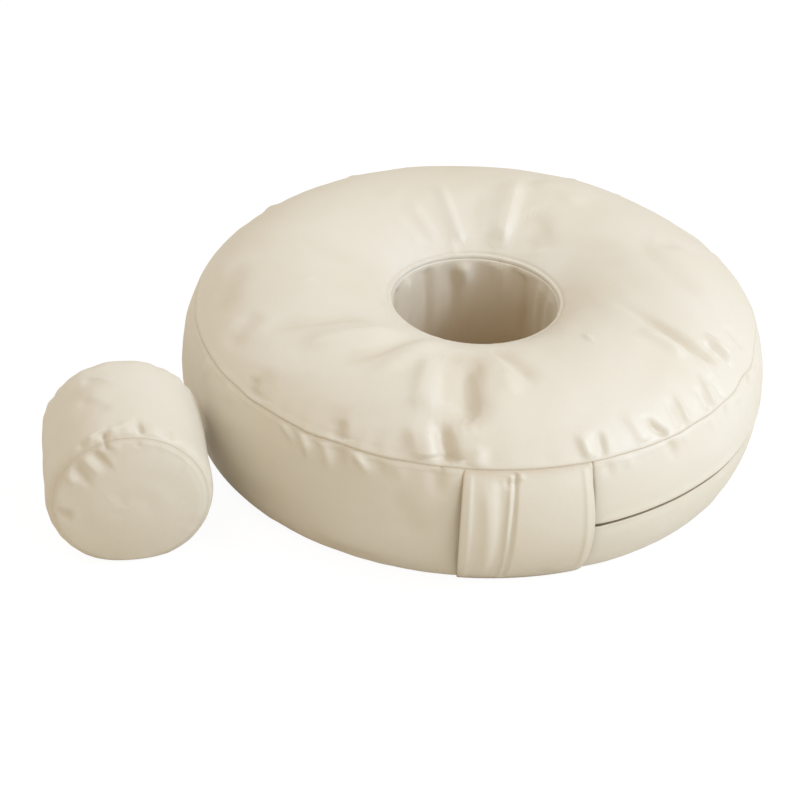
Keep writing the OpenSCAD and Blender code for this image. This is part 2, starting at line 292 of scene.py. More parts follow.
class Sheet:
    """A grid of points with normals, and lift: how far each point is raised along its normal."""

    def __init__(self, points, normals, at):
        self.points = points
        self.normals = normals
        self.at = at
        self.lift = np.zeros(points.shape[:2])
        self.detail = np.zeros_like(points)
        self.cloth = np.zeros_like(points)

    def fold(self, path, height, left, right=None, taper=(0.3, 0.3)):
        """Raises a ridge, or sinks a valley if height is below 0, along a path. All sizes are in mm.
        left and right are the widths of its two sides, and taper the shares that fade in and out."""
        right = left if right is None else right
        left, right = left * MM, right * MM
        curve = smooth_path([self.at(*p) for p in path])
        tangent = np.gradient(curve, axis=0)
        tangent /= np.linalg.norm(tangent, axis=1)[:, None]
        flat, normals = self.points.reshape(-1, 3), self.normals.reshape(-1, 3)
        reach = 3 * max(left, right)
        inside = ((flat > curve.min(0) - reach) & (flat < curve.max(0) + reach)).all(1)
        near = np.nonzero(inside)[0]
        off = flat[near][:, None, :] - curve[None, :, :]
        i = (off**2).sum(-1).argmin(1)
        off = off[np.arange(len(near)), i]
        along = (off * tangent[i]).sum(1)
        across = (off * np.cross(tangent[i], normals[near])).sum(1)
        width = np.where(across > 0, right, left)
        past_end = ((i == 0) & (along < 0)) | ((i == len(curve) - 1) & (along > 0))
        share = i / (len(curve) - 1)
        fade = smoothstep(share / max(taper[0], 1e-3)) * smoothstep((1 - share) / max(taper[1], 1e-3))
        fade = fade * np.where(past_end, bell(along, width), 1)
        lift = self.lift.reshape(-1)
        lift[near] += height * MM * bell(across, width) * fade
        return self


# ---- The ring's cover ----

COLUMNS = 720
ROWS = {"top": 73, "wall": 61, "bottom": 13, "hole": 31}
CLUSTER = {"top": 0.6, "wall": 0.55, "bottom": 0.5, "hole": 0.5}
ring_angles = np.arange(COLUMNS) * 360 / COLUMNS
HANDLE_R = -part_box("handle_face")[0].y
HANDLE_END = math.degrees(math.asin(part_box("handle_face")[1].x / HANDLE_R))
ZIP_START = 90 - math.degrees(math.asin(-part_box("ring_wall_upper")[0].y / RING_R))
ZIP_END = 90 + math.degrees(math.acos(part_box("ring_wall_upper")[0].x / RING_R))


def placed_at(angle, r, z):
    a = math.radians(angle)
    return np.array([r * math.sin(a), -r * math.cos(a), z])


def on_top(angle, radius_mm):
    """A point of the top panel, by angle and radius."""
    r = radius_mm * MM
    return placed_at(angle, r, crown_arc[1] + math.sqrt(crown_arc[2] ** 2 - (r - crown_arc[0]) ** 2))


def on_wall(angle, height_mm):
    z = height_mm * MM
    return placed_at(angle, wall_arc[0] + math.sqrt(wall_arc[2] ** 2 - (z - wall_arc[1]) ** 2), z)


def on_hole(angle, height_mm):
    return placed_at(angle, HOLE_R, height_mm * MM)


AT = {"top": on_top, "wall": on_wall, "hole": on_hole, "bottom": None}
shares = {n: clustered(ROWS[n], CLUSTER[n]) for n in ROWS}


def ring_sheet(span):
    section, normal = SPANS[span](shares[span])
    sheet = Sheet(turned(section, ring_angles), turned(normal, ring_angles), AT[span])
    sheet.normals = sheet.normals / np.linalg.norm(sheet.normals, axis=2)[..., None]
    sheet.from_start = shares[span] * SPAN_LENGTH[span]
    sheet.from_end = (1 - shares[span]) * SPAN_LENGTH[span]
    sheet.from_seam = np.minimum(sheet.from_start, sheet.from_end)
    return sheet


ring = {n: ring_sheet(n) for n in ROWS}
top, wall, hole, bottom = ring["top"], ring["wall"], ring["hole"], ring["bottom"]


def gather(sheet, distance, depth, reach, ripple):
    """Small puckers that run out from a seam and fade with distance from it."""
    fade = np.exp(-distance / (reach * MM)) * (1 - np.exp(-distance / (2 * MM)))
    sheet.lift += np.reshape(depth, (-1, 1)) * MM * ripple[:, None] * fade[None, :]


def ring_ripple(seed, waves=(26, 90), patchy=0.5):
    """A ripple round the ring that comes and goes in patches."""
    draw = np.random.default_rng(seed)
    ripple = random_waves(draw, ring_angles, range(waves[0], waves[1], 3))
    patch = random_waves(draw, ring_angles, range(2, 12))
    return ripple * np.clip(0.5 + patch / (1 - patchy), 0, 1)


# Top panel, at the back: folds that spill over the rim of the well
top.fold([(-164, 214), (-165, 165), (-169, 112)], 5, 6, 9, (0.4, 0.15))
top.fold([(-149, 182), (-151, 150), (-154, 112)], 3, 8, 10)
top.fold([(-138, 170), (-141, 140), (-145, 112)], 1.6, 8, 10)
top.fold([(-179, 200), (-178, 160), (-178, 110)], -2.5, 13, 13, (0.4, 0.3))
top.fold([(170, 236), (168, 190), (167, 150), (166, 108)], 7, 8, 19, (0.35, 0.2))
top.fold([(160, 172), (150, 150), (140, 122)], -6, 15, 22, (0.25, 0.25))
top.fold([(166, 226), (154, 220), (142, 210)], 4.5, 17, 13)
# Top panel, on the right: a broad dent, and the deep fold that runs out to the seam
top.fold([(120, 236), (108, 214), (92, 236), (78, 282)], -4, 22, 16)
top.fold([(113, 262), (110, 232)], -3, 12)
top.fold([(46, 172), (42, 199)], 2.0, 3, 2)
top.fold([(76, 160), (65, 214), (62.5, 254), (62.5, 284), (64, 312)], -9, 10, 5, (0.4, 0.2))
top.fold([(58, 214), (58.5, 250), (58.5, 282)], 5, 9, 9)
top.fold([(70, 276), (69, 298), (69, 324)], 7, 3.5, 8, (0.4, 0.3))
top.fold([(66.3, 280), (66.5, 318)], -4.5, 6, 3)
top.fold([(60.5, 284), (60, 322)], 2.5, 6, 5)
top.fold([(77, 290), (75, 326)], -2.5, 9, 7)
# Top panel, front right: short puckers that end at the seam
top.fold([(57.5, 296), (56, 320), (55.5, 332)], 5, 2.8, 5, (0.4, 0.1))
top.fold([(53.5, 306), (53, 331)], -2.5, 5, 3.5, (0.4, 0.05))
top.fold([(59.5, 306), (58.5, 331)], -2, 4, 4, (0.4, 0.05))
top.fold([(48, 300), (47, 332)], 4.2, 2.8, 5, (0.4, 0.1))
top.fold([(44.5, 302), (44, 332)], -2, 6, 4, (0.4, 0.05))
top.fold([(37.5, 308), (39, 322), (41, 333)], -6.5, 5, 4.5, (0.5, 0.1))
top.fold([(34, 296), (35.5, 330)], 2.5, 9, 7, (0.4, 0.05))
top.fold([(22.5, 306), (23.5, 332)], 4.5, 9, 5, (0.4, 0.02))
top.fold([(27, 308), (26.5, 333)], -4, 4, 8, (0.4, 0.02))
# Top panel, at the front: the deep valley and the dents where it meets the seam
top.fold([(-2, 168), (-1.5, 228), (-0.5, 268), (1, 308)], -20, 18, 24, (0.3, 0.3))
top.fold([(-13, 186), (-11, 250), (-10, 290)], 6, 36, 13)
top.fold([(9, 216), (10, 262)], 3, 14)
top.fold([(6, 150), (10, 184), (14, 214), (17, 250)], -6, 13, 6)
top.fold([(-6.5, 288), (-4.5, 312), (-2.5, 332)], -11, 11, 9, (0.45, 0.02))
top.fold([(-11.5, 296), (-8, 331)], 4.5, 26, 9, (0.5, 0.02))
top.fold([(3, 312), (2, 332)], 3, 9, 9, (0.5, 0.02))
# Top panel, on the left: ridges and valleys that run from the well, and dents by the seam
top.fold([(-25, 268), (-19, 205), (-12, 136)], 4.5, 16, 13)
top.fold([(-35, 266), (-28, 216), (-19, 140)], -5.4, 11, 9)
top.fold([(-46, 272), (-39, 218), (-29, 150)], 5.8, 15, 12)
top.fold([(-58, 280), (-51, 228), (-43, 160)], -5.4, 15, 11)
top.fold([(-78, 192), (-74, 208)], 1.4, 3, 2)
top.fold([(-92, 286), (-80, 292), (-70, 314)], -3.4, 22, 20)
top.fold([(-66, 268), (-62, 294), (-60, 322)], -3.2, 17, 17)
top.fold([(-47, 298), (-45, 332)], -3.2, 15, 16, (0.6, 0.02))
top.fold([(-27, 298), (-25, 332)], -3.2, 15, 16, (0.6, 0.02))
top.fold([(-48, 314), (-46.5, 331)], -3.5, 7, 9, (0.5, 0.02))
top.fold([(-25.5, 312), (-24, 331)], -4.5, 7, 9, (0.5, 0.02))

# Well: soft upright folds, and the fold that spills over its rim at the back
hole.fold([(-168, 150), (-171, 128), (-175, 98)], 6, 10, 12, (0.3, 0.7))
hole.fold([(-160, 150), (-163, 100), (-164, 40)], -3, 9, 9, (0.2, 0.5))
hole.fold([(165, 152), (160, 120), (158, 60)], 3, 10, 12, (0.05, 0.6))
hole.fold([(-122, 148), (-118, 80), (-120, 20)], 4, 7, 9, (0.1, 0.4))
hole.fold([(-107, 148), (-105, 80), (-106, 20)], -4, 7, 7, (0.1, 0.4))
hole.fold([(-140, 148), (-143, 80), (-141, 20)], -3.5, 8, 6, (0.1, 0.4))
hole.fold([(145, 148), (142, 90), (144, 30)], -4, 7, 9, (0.1, 0.4))
hole.fold([(126, 148), (128, 90), (126, 30)], 3.5, 8, 7, (0.1, 0.4))
hole.fold([(112, 148), (115, 80), (112, 20)], 2.5, 9, 9, (0.1, 0.4))

# Side wall: teardrop puckers that hang from the top seam, and soft dents
WALL_TOP_MM = 147
for angle, height, width, length, lean in (
    (-37, 3, 4, 17, 5), (-32, 5, 5, 28, 4), (-27, 4, 6, 32, 3), (-20.5, 5, 5, 22, 4),
    (-12, 1.5, 8, 24, 1), (31, 1.5, 6, 18, 1), (45, 2, 6, 18, 0), (53, 2, 5, 20, 0),
    (63, 2.5, 5, 18, 1), (78, 2, 6, 20, 1), (-52, 1.5, 8, 24, 2), (-62, 2, 9, 28, 1),
    (-34.5, -1, 4, 16, 4), (-29.5, -1.5, 4, 20, 4), (-23.5, -3.5, 8, 30, 2), (-16, -1.5, 6, 24, 2),
    (-5, -3, 9, 34, 1), (27, -2.5, 6, 22, 0), (41, -4, 7, 26, 1), (58, -2.5, 5, 20, 0),
    (70, -4, 5, 22, 1),
):
    path = [(angle, WALL_TOP_MM), (angle + lean, WALL_TOP_MM - length)]
    wall.fold(path, height, width, width, (0.1, 0.6))
wall.fold([(-14, 118), (-9, 92), (-8, 60)], -3, 16, 14)
wall.fold([(-30, 22), (-22, 14), (-12, 16)], -2.5, 10)
wall.fold([(-60, 60), (-58, 90)], -5, 30)

# Round the back: folds of random size beside the top seam, each with a pucker below it
SEAM_MM = 332
draw = np.random.default_rng(37)
for angle in range(106, 236, 9):
    at, lean = angle + draw.uniform(-4, 4), draw.uniform(-4, 4)
    height, width = draw.choice((-1, 1)) * draw.uniform(1.5, 4), draw.uniform(5, 11)
    path = [(at + lean, draw.uniform(290, 312)), (at, SEAM_MM)]
    top.fold(path, height, width, 0.7 * width, (0.5, 0.05))
    path = [(at + 2, WALL_TOP_MM), (at + 2 + lean / 2, draw.uniform(108, 128))]
    wall.fold(path, -0.7 * height, 7, 7, (0.05, 0.7))

# Soft unevenness of loose filling, and small gathers at every seam
for name, size, seed in (("top", 2.2, 11), ("wall", 1.6, 12), ("hole", 1.0, 13)):
    sheet = ring[name]
    middle = smoothstep(sheet.from_start / (40 * MM)) * smoothstep(sheet.from_end / (40 * MM))
    sheet.lift += size * MM * smooth_noise(ring_angles, shares[name] * 3, 9, seed, 2) * middle
    fine = smooth_noise(ring_angles, shares[name] * 7, 26, seed + 20, 10)
    sheet.lift += 0.35 * size * MM * fine * middle
behind = window(ring_angles, 100, 250, 30)
gather(top, top.from_end, 2.0 + 1.5 * behind, 13, ring_ripple(31, patchy=0.7))
gather(top, top.from_start, 2.0, 22, ring_ripple(32, (12, 40)))
gather(wall, wall.from_start, 1.4 + 1.2 * behind, 11, ring_ripple(33, patchy=0.7))
gather(wall, wall.from_end, 1.8, 10, ring_ripple(34))
gather(hole, hole.from_end, 2.4, 60, ring_ripple(35, (8, 30), 0.2))


# The wall lies flat under the handle, and its edges lift a little along the slit for the zip
under_handle = window(ring_angles, -3, HANDLE_END + 3, 3)
wall.lift -= under_handle[:, None] * np.clip(wall.lift, 0, 1)
wall.lift -= 0.8 * MM * under_handle[:, None] * np.ones(ROWS["wall"])
beside_zip = window(ring_angles, ZIP_START, ZIP_END, 4)
wall_z = SPANS["wall"](shares["wall"])[0][:, 1]
for rise, above in ((1.3, 5), (-0.6, -6)):
    wall.lift += rise * MM * beside_zip[:, None] * bell(wall_z - ZIP_H - above * MM, 5 * MM)

# Neighbouring panels share their seam: it gives way with both of them, and sits in a groove
SEAM_BLEND = 11 * MM
ALLOWANCE_LIFT, ALLOWANCE_AT, ALLOWANCE_WIDTH = 0.35 * MM, 5.5 * MM, 2 * MM
WELT_AT, WELT_WIDTH = 2.2 * MM, 1.1 * MM


def share_seam(before, after, give, depth, width, rounding, wander=0, welt=0):
    """Moves the last row of one sheet and the first row of the next onto one common line.
    give is how far the seam follows the folds beside it, depth and width shape its groove, and
    rounding is the radius of the corner there, all three in mm. wander moves the line to and fro.
    welt is the height of the turned edge, in mm, that stands up beside the stitches."""
    from_before = before.normals[:, -1] * before.lift[:, -1, None]
    from_after = after.normals[:, 0] * after.lift[:, 0, None]
    line = (from_before + from_after) * give
    across = before.points[:, -1] - before.points[:, -2]
    line += across / np.linalg.norm(across, axis=1)[:, None] * np.reshape(wander, (-1, 1))
    ahead = before.normals[:, -1] + after.normals[:, 0]
    ahead /= np.linalg.norm(ahead, axis=1)[:, None]
    half_turn = math.acos(float(before.normals[0, -1] @ after.normals[0, 0])) / 2
    reach = rounding * MM * math.tan(half_turn)
    cut = rounding * MM * (1 / math.cos(half_turn) - 1)
    for sheet, distance in ((before, before.from_end), (after, after.from_start)):
        own = smoothstep(distance / SEAM_BLEND)[None, :, None]
        sheet.shift = sheet.shift * own + line[:, None, :] * (1 - own)
        groove = np.reshape(depth, (-1, 1)) * MM * np.exp(-distance / (width * MM))[None, :]
        ridge = ALLOWANCE_LIFT * bell(distance - ALLOWANCE_AT, ALLOWANCE_WIDTH)[None, :]
        corner = cut * np.clip(1 - distance / reach, 0, 1)[None, :] ** 2
        sheet.detail += ahead[:, None, :] * (ridge - groove - corner)[..., None]
    edge = bell(before.from_end - WELT_AT, WELT_WIDTH)
    before.detail += ahead[:, None, :] * np.reshape(welt, (-1, 1, 1)) * MM * edge[None, :, None]


for sheet in ring.values():
    sheet.shift = sheet.normals * sheet.lift[..., None]
pulled = 1 + 2.2 * bell(ring_angles - 82, 22)
wander = smooth_noise(ring_angles, np.zeros(1), 46, 36, 14)[:, 0]
wander = 1.1 * MM * wander * pulled * (1 - under_handle)
on_right, on_left = bell(ring_angles - 65, 40), bell(ring_angles - 325, 26)
groove_depth = 0.5 + 0.4 * on_right - 0.2 * under_handle
share_seam(top, wall, 0.4, groove_depth, 1.5, 26, wander, 0.45 + 0.6 * on_left)
share_seam(wall, bottom, 0.2, 0.8, 1.6, 14)
share_seam(bottom, hole, 0.2, 0.6, 1.6, 5)
share_seam(hole, top, 0.5, 0.2, 1.6, 11)

# The seam round the hole lies on the top panel, a little outside the rim
RIM_SEAM = 7.5 * MM
rim_line = bell(top.from_start - RIM_SEAM, 1.3 * MM)
rim_edge = bell(top.from_start - RIM_SEAM + 3.4 * MM, 1.8 * MM)
top.detail += top.normals * (0.9 * MM * rim_edge - 0.9 * MM * rim_line)[None, :, None]

# Upright seams of the side wall, at the zip's two ends
for angle in (ZIP_START, ZIP_END):
    beside = np.abs((ring_angles - angle + 180) % 360 - 180) * math.radians(1) * RING_R
    wall.detail -= wall.normals * (1.2 * MM * np.exp(-beside / (2.2 * MM)))[:, None, None]

ORDER = ("top", "wall", "bottom", "hole")
RING_CAP = 5 * MM
fill_cover([ring[n] for n in ORDER], True, RING_CAP)
hole.cloth *= 0.3
# The zip's slider runs close to the wall, so the wall stays in its place there
calm = beside_zip[:, None] * bell(wall_z - ZIP_H, 28 * MM)
wall.cloth *= 1 - 0.9 * calm[..., None]
for sheet in ring.values():
    sheet.placed = sheet.points + sheet.shift + sheet.cloth + sheet.detail
    sheet.placed[..., 2] = np.maximum(sheet.placed[..., 2], 0)


# ---- Materials: made of nodes, in the frame's own metres ----


class Nodes:
    """A material under construction."""

    def __init__(self, name):
        self.material = bpy.data.materials.new(name)
        self.material.use_nodes = True
        self.tree = self.material.node_tree
        self.shader = self.tree.nodes["Principled BSDF"]
        self.place = self.tree.nodes.new("ShaderNodeTexCoord").outputs["Object"]

    def set(self, node, name, value):
        if isinstance(value, bpy.types.NodeSocket):
            self.tree.links.new(value, node.inputs[name])
        else:
            node.inputs[name].default_value = value

    def node(self, kind, output, **values):
        made = self.tree.nodes.new("ShaderNode" + kind)
        for name, value in values.items():
            self.set(made, name.replace("_", " "), value)
        return made.outputs[output]

    def noise(self, scale, detail=3, distortion=0):
        return self.node("TexNoise", "Fac", Vector=self.place, Scale=scale, Detail=detail,
                         Distortion=distortion)

    def pebbles(self, scale):
        edges = self.node("TexVoronoi", "Distance", Vector=self.place, Scale=scale)
        edges.node.feature = "DISTANCE_TO_EDGE"
        return self.ramp(edges, 0, 0.12)

    def waves(self, scale, axis):
        bands = self.node("TexWave", "Fac", Vector=self.place, Scale=scale)
        bands.node.bands_direction = axis
        return bands

    def ramp(self, value, low, high, to_low=0, to_high=1):
        return self.node("MapRange", "Result", Value=value, From_Min=low, From_Max=high,
                         To_Min=to_low, To_Max=to_high)

    def mix(self, share, first, second):
        node = self.tree.nodes.new("ShaderNodeMix")
        node.data_type = "RGBA"
        self.set(node, "Factor", share)
        for i, colour in ((6, first), (7, second)):
            if isinstance(colour, bpy.types.NodeSocket):
                self.tree.links.new(colour, node.inputs[i])
            else:
                node.inputs[i].default_value = (*colour, 1)
        return node.outputs[2]

    def attribute(self, name):
        value = self.node("Attribute", "Fac")
        value.node.attribute_name = name
        return value

    def bump(self, height, strength, depth, **under):
        return self.node("Bump", "Normal", Height=height, Strength=strength, Distance=depth, **under)

    def finish(self, **values):
        for name, value in values.items():
            self.set(self.shader, name.replace("_", " "), value)
        return self.material


def leatherette(name, light, dark, roughness, grain=1):
    """Soft polyurethane leather: pebbled grain, faint creases, a tone that drifts a little, and painted shade by
    seams, in folds and down the well.
    """
    n = Nodes(name)
    colour = n.mix(n.ramp(n.noise(7, 4), 0.3, 0.7), light, dark)
    shade_and_grain_colour = [c * f for c, f in zip(dark, (0.68, 0.54, 0.38))]
    # Painted shade: darker and browner where the seam_shade attribute is high, at seams, in folds and down the
    # well
    colour = n.mix(n.ramp(n.attribute("seam_shade"), 0, 1, 0, 0.75), colour, shade_and_grain_colour)
    colour = n.mix(n.ramp(n.pebbles(700), 0, 1, 0.06 * grain, 0), colour, shade_and_grain_colour)
    creases = n.bump(n.noise(46, 5, 0.6), 0.22, 1.4 * MM)
    fine = n.bump(n.noise(240, 4, 0.3), 0.22 * grain, 0.35 * MM, Normal=creases)
    pebble = n.bump(n.pebbles(700), 0.22 * grain, 0.12 * MM, Normal=fine)
    rough = n.ramp(n.noise(90, 4), 0.3, 0.7, roughness - 0.04, roughness + 0.06)
    return n.finish(Base_Color=colour, Roughness=rough, Normal=pebble, Specular_IOR_Level=0.45,
                    Sheen_Weight=0.05)


def woven(name, light, dark, scale, roughness):
    """A plain weave, crossed waves in two directions."""
    n = Nodes(name)
    weft, warp = n.waves(scale, "Z"), n.waves(scale, "DIAGONAL")
    over = n.mix(0.5, n.mix(weft, dark, light), n.mix(warp, dark, light))
    colour = n.mix(n.ramp(n.noise(60), 0.3, 0.7, 0, 0.4), over, dark)
    bump = n.bump(weft, 0.5, 0.15 * MM, Normal=n.bump(warp, 0.5, 0.15 * MM))
    return n.finish(Base_Color=colour, Roughness=roughness, Normal=bump, Sheen_Weight=0.2)


def moulded(name, light, dark, roughness, pitch):
    """Nylon coil: ribs across the zip's chain."""
    n = Nodes(name)
    ribs = n.waves(pitch, "DIAGONAL")
    colour = n.mix(ribs, dark, light)
    return n.finish(Base_Color=colour, Roughness=roughness, Normal=n.bump(ribs, 0.7, 0.3 * MM))


def plated(name, light, dark):
    """Satin nickel with fine scratches."""
    n = Nodes(name)
    colour = n.mix(n.noise(300, 4), light, dark)
    rough = n.ramp(n.noise(800, 5, 1), 0.2, 0.8, 0.22, 0.42)
    bump = n.bump(n.noise(1500, 4, 2), 0.15, 0.05 * MM)
    return n.finish(Base_Color=colour, Roughness=rough, Metallic=1.0, Normal=bump)


def fibrous(name, light, dark):
    n = Nodes(name)
    strands = n.noise(160, 6, 3)
    return n.finish(Base_Color=n.mix(strands, light, dark), Roughness=0.95,
                    Normal=n.bump(strands, 0.8, 1.5 * MM), Sheen_Weight=0.4)


def spun(name, light, dark):
    """Twisted sewing thread."""
    n = Nodes(name)
    twist = n.waves(900, "DIAGONAL")
    return n.finish(Base_Color=n.mix(twist, dark, light), Roughness=0.6,
                    Normal=n.bump(twist, 0.5, 0.1 * MM), Sheen_Weight=0.3)


MATERIALS = {
    "cover_leatherette": leatherette("cover_leatherette", (0.765, 0.72, 0.625),
                                     (0.74, 0.685, 0.57), 0.44),
    "cover_lining": leatherette("cover_lining", (0.72, 0.64, 0.50), (0.68, 0.60, 0.46), 0.6, 0.6),
    "zip_tape": woven("zip_tape", (0.66, 0.58, 0.44), (0.52, 0.45, 0.33), 260, 0.85),
    "zip_coil": moulded("zip_coil", (0.60, 0.52, 0.38), (0.36, 0.30, 0.21), 0.4, 170),
    "zip_metal": plated("zip_metal", (0.62, 0.60, 0.56), (0.48, 0.46, 0.43)),
    "liner_cloth": woven("liner_cloth", (0.82, 0.80, 0.74), (0.70, 0.68, 0.62), 300, 0.9),
    "fibre_filling": fibrous("fibre_filling", (0.90, 0.89, 0.86), (0.78, 0.77, 0.73)),
    "sewing_thread": spun("sewing_thread", (0.84, 0.78, 0.66), (0.66, 0.59, 0.47)),
}


# ---- Pieces ----


def piece(obj, body, slot, nodes, thick=0, material=None):
    """Gives a finished mesh its body, material and the CAD nodes it stands for."""
    obj.data.materials.append(MATERIALS[material or slot])
    if thick:
        shell = obj.modifiers.new("thickness", "SOLIDIFY")
        shell.thickness = thick * MM
        shell.offset = -1
    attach(obj, body)
    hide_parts(*nodes)
    return obj


def shade(obj, values):
    """Stores painted shade for the material, from how near each point is to a seam or deep in a fold."""
    made = obj.data.attributes.new("seam_shade", "FLOAT", "POINT")
    made.data.foreach_set("value", np.clip(values, 0, 1).astype(np.float32).ravel())


# The painted shade of the seam round the hole lies on the top panel where the seam is, and not on the well's wall
SEAM_PAINTED_SHADE = 0.2
top.from_seam = np.minimum(top.from_end, np.abs(top.from_start - RIM_SEAM))
hole.from_seam = hole.from_start


# Painted shade for a sheet: darker beside its seams, and darker in a valley the deeper it sinks
def seam_shade(sheet):
    edge = SEAM_PAINTED_SHADE * bell(sheet.from_seam, 2.5 * MM)[None, :]
    return edge + np.clip(-sheet.lift / (20 * MM), 0, 0.25)


COVER_MM = 1.0
WELL_PAINTED_SHADE = 1.0
for name, node in (("top", "ring_top_panel"), ("bottom", "ring_bottom_panel"),
                   ("hole", "ring_hole_wall")):
    sheet = ring[name]
    made = mesh_object("ring_cover_" + name, sheet.placed, grid_faces(COLUMNS, ROWS[name]))
    # Painted shade down the well, stronger the deeper below its rim
    shadow = WELL_PAINTED_SHADE * np.sqrt(1 - sheet.points[..., 2] / HOLE_H) if name == "hole" else 0
    shade(made, seam_shade(sheet) + shadow)
    lining = "cover_lining" if name == "bottom" else None
    piece(made, "ring", "cover_leatherette", [node], COVER_MM, lining)


def between_rows(grid, rows):
    """The grid's points at fractional rows."""
    low = np.clip(np.floor(rows).astype(int), 0, grid.shape[1] - 2)
    share = (rows - low).reshape((1, -1) + (1,) * (grid.ndim - 2))
    return grid[:, low] * (1 - share) + grid[:, low + 1] * share


def columns_between(start, end):
    """Column numbers from one angle to another, going round past 0."""
    first, last = round(start * COLUMNS / 360), round(end * COLUMNS / 360)
    return np.arange(first, last + 1) % COLUMNS


SLIT_EDGE = 2.4 * MM
LIP = ((0.35, 0.25), (1.0, 0.4), (1.9, 0.35), (2.6, 0.1))
wall_shade = seam_shade(wall)


def wall_row_at(z):
    return np.interp(-z, -wall_z, np.arange(ROWS["wall"]))


def wall_strip(name, node, columns, row_from, row_to, rows, lip):
    """A strip of the side wall. lip is -1 or 1 for the side whose edge folds in at the slit, or 0."""
    at = row_from + (row_to - row_from) * clustered(rows, 0.4)
    grid = between_rows(wall.placed[columns], at)
    strip_shade = between_rows(wall_shade[columns], at)
    edge = -1 if lip < 0 else 0
    if lip:
        inward = -wall.normals[columns][:, ROWS["wall"] // 2] * MM
        upward = np.array([0, 0, lip * MM])
        folded = [grid[:, edge] + inward * deep + upward * close for deep, close in LIP]
        folded = np.stack(folded, 1)
        # The lip that turns into the slit gets full painted shade
        lip_painted_shade = np.ones((len(columns), len(LIP)))
        if lip < 0:
            grid, strip_shade = np.concatenate([grid, folded], 1), np.concatenate([strip_shade, lip_painted_shade], 1)
        else:
            grid = np.concatenate([folded[:, ::-1], grid], 1)
            strip_shade = np.concatenate([lip_painted_shade, strip_shade], 1)
    made = mesh_object(name, grid, grid_faces(*grid.shape[:2], loop_columns=False))
    shade(made, strip_shade)
    piece(made, "ring", "cover_leatherette", [node], COVER_MM)


zip_columns = columns_between(ZIP_START, ZIP_END)
last_row = ROWS["wall"] - 1
plain_columns = columns_between(ZIP_END, ZIP_START + 360)
wall_strip("ring_cover_wall", "ring_wall_panel", plain_columns, 0, last_row, 61, 0)
upper_edge, lower_edge = wall_row_at(ZIP_H + SLIT_EDGE), wall_row_at(ZIP_H - SLIT_EDGE)
wall_strip("ring_cover_above_zip", "ring_wall_upper", zip_columns, 0, upper_edge, 33, -1)
wall_strip("ring_cover_below_zip", "ring_wall_lower", zip_columns, lower_edge, last_row, 33, 1)


# Handle: a band of cover with a lining, sewn into the top and bottom seams
HANDLE_MM = 1.2
HANDLE_LINING_MM = 0.9
HANDLE_DEPTH = 150
HANDLE_TUCK = 0.5 * MM
HANDLE_COLUMNS, HANDLE_ROWS = 121, 97
handle_low, handle_high = (SEAM_R, HANDLE_TUCK), (SEAM_R, WALL_H - HANDLE_TUCK)
handle_arc = arc_through(*handle_low, *handle_high, HANDLE_R, WALL_H / 2)
handle_share = clustered(HANDLE_ROWS, 0.3)
handle_angles = HANDLE_END * clustered(HANDLE_COLUMNS, 0.5)
section, normal = on_arc(handle_arc, handle_high, handle_low, handle_share)
handle_width = math.radians(HANDLE_END) * HANDLE_R


def on_handle(across_mm, down_mm):
    """A point of the band, from its middle line and down from its top, in mm."""
    r, z = on_arc(handle_arc, handle_high, handle_low, np.array([down_mm / HANDLE_DEPTH]))[0][0]
    return placed_at((across_mm * MM / handle_width + 0.5) * HANDLE_END, r, z)


band = Sheet(turned(section, handle_angles), turned(normal, handle_angles), on_handle)
band.fold([(-66, 2), (-65, 60), (-66, 148)], 1.2, 3, 5, (0.05, 0.05))
band.fold([(-50, 4), (-44, 60), (-46, 146)], 1.8, 8, 7)
band.fold([(-32, 2), (-31, 70), (-36, 146)], -2.2, 8, 6, (0.1, 0.2))
band.fold([(-19, 2), (-23, 60), (-26, 148)], 2.6, 5, 2.5, (0.05, 0.05))
band.fold([(-14.5, 2), (-18, 60), (-21.5, 148)], -3.6, 2.2, 6, (0.02, 0.1))
band.fold([(-25, 60), (-28, 110), (-30, 147)], -1.5, 3, 4)
band.fold([(-26, 4), (-22, 14), (-8, 7)], -1.6, 4, 4, (0.3, 0.3))
band.fold([(-10, 3), (-6, 12)], 1.4, 3, 4, (0.02, 0.5))
band.fold([(66, 2), (65, 60), (66, 148)], 1.0, 5, 3, (0.05, 0.05))
band.fold([(10, 120), (30, 136), (50, 140)], -1.2, 8, 8)
band.lift += 0.8 * MM * smooth_noise(handle_angles * 4, handle_share * 3, 7, 41, 2)
past = int(HANDLE_END * COLUMNS / 360) + 10
top_shift = [np.interp(handle_angles, ring_angles[:past], wall.shift[:past, 0, i]) for i in range(3)]
top_shift = np.stack(top_shift, -1)
down = handle_share * HANDLE_DEPTH
fade = np.exp(-down / 26)
edge_gap = np.minimum(handle_angles, HANDLE_END - handle_angles) / HANDLE_END * handle_width
edge_turn = 1.1 * MM * np.exp(-edge_gap / (0.7 * MM))
ends = np.exp(-np.minimum(down, HANDLE_DEPTH - down) / 5)
band.lift *= 1 - ends[None, :]
band.placed = band.points + band.normals * (band.lift - edge_turn[:, None])[..., None]
band.placed += top_shift[:, None, :] * fade[None, :, None]
band.placed[..., 2] = np.maximum(band.placed[..., 2], 0.2 * MM)
band_faces = grid_faces(HANDLE_COLUMNS, HANDLE_ROWS, loop_columns=False)
face = mesh_object("handle_band", band.placed, band_faces)
# Painted shade along the band's two edges and at its ends, where it goes into the seams
shade(face, 0.5 * np.exp(-edge_gap / (1.5 * MM))[:, None] + 0.6 * ends[None, :])
piece(face, "ring", "cover_leatherette", ["handle_face"], HANDLE_MM)
back = mesh_object("handle_back", band.placed - band.normals * HANDLE_MM * MM, band_faces)
# Painted shade at the lining's ends
shade(back, np.broadcast_to(0.3 * ends[None, :], band.lift.shape))
piece(back, "ring", "cover_leatherette", ["handle_lining"], HANDLE_LINING_MM, "cover_lining")


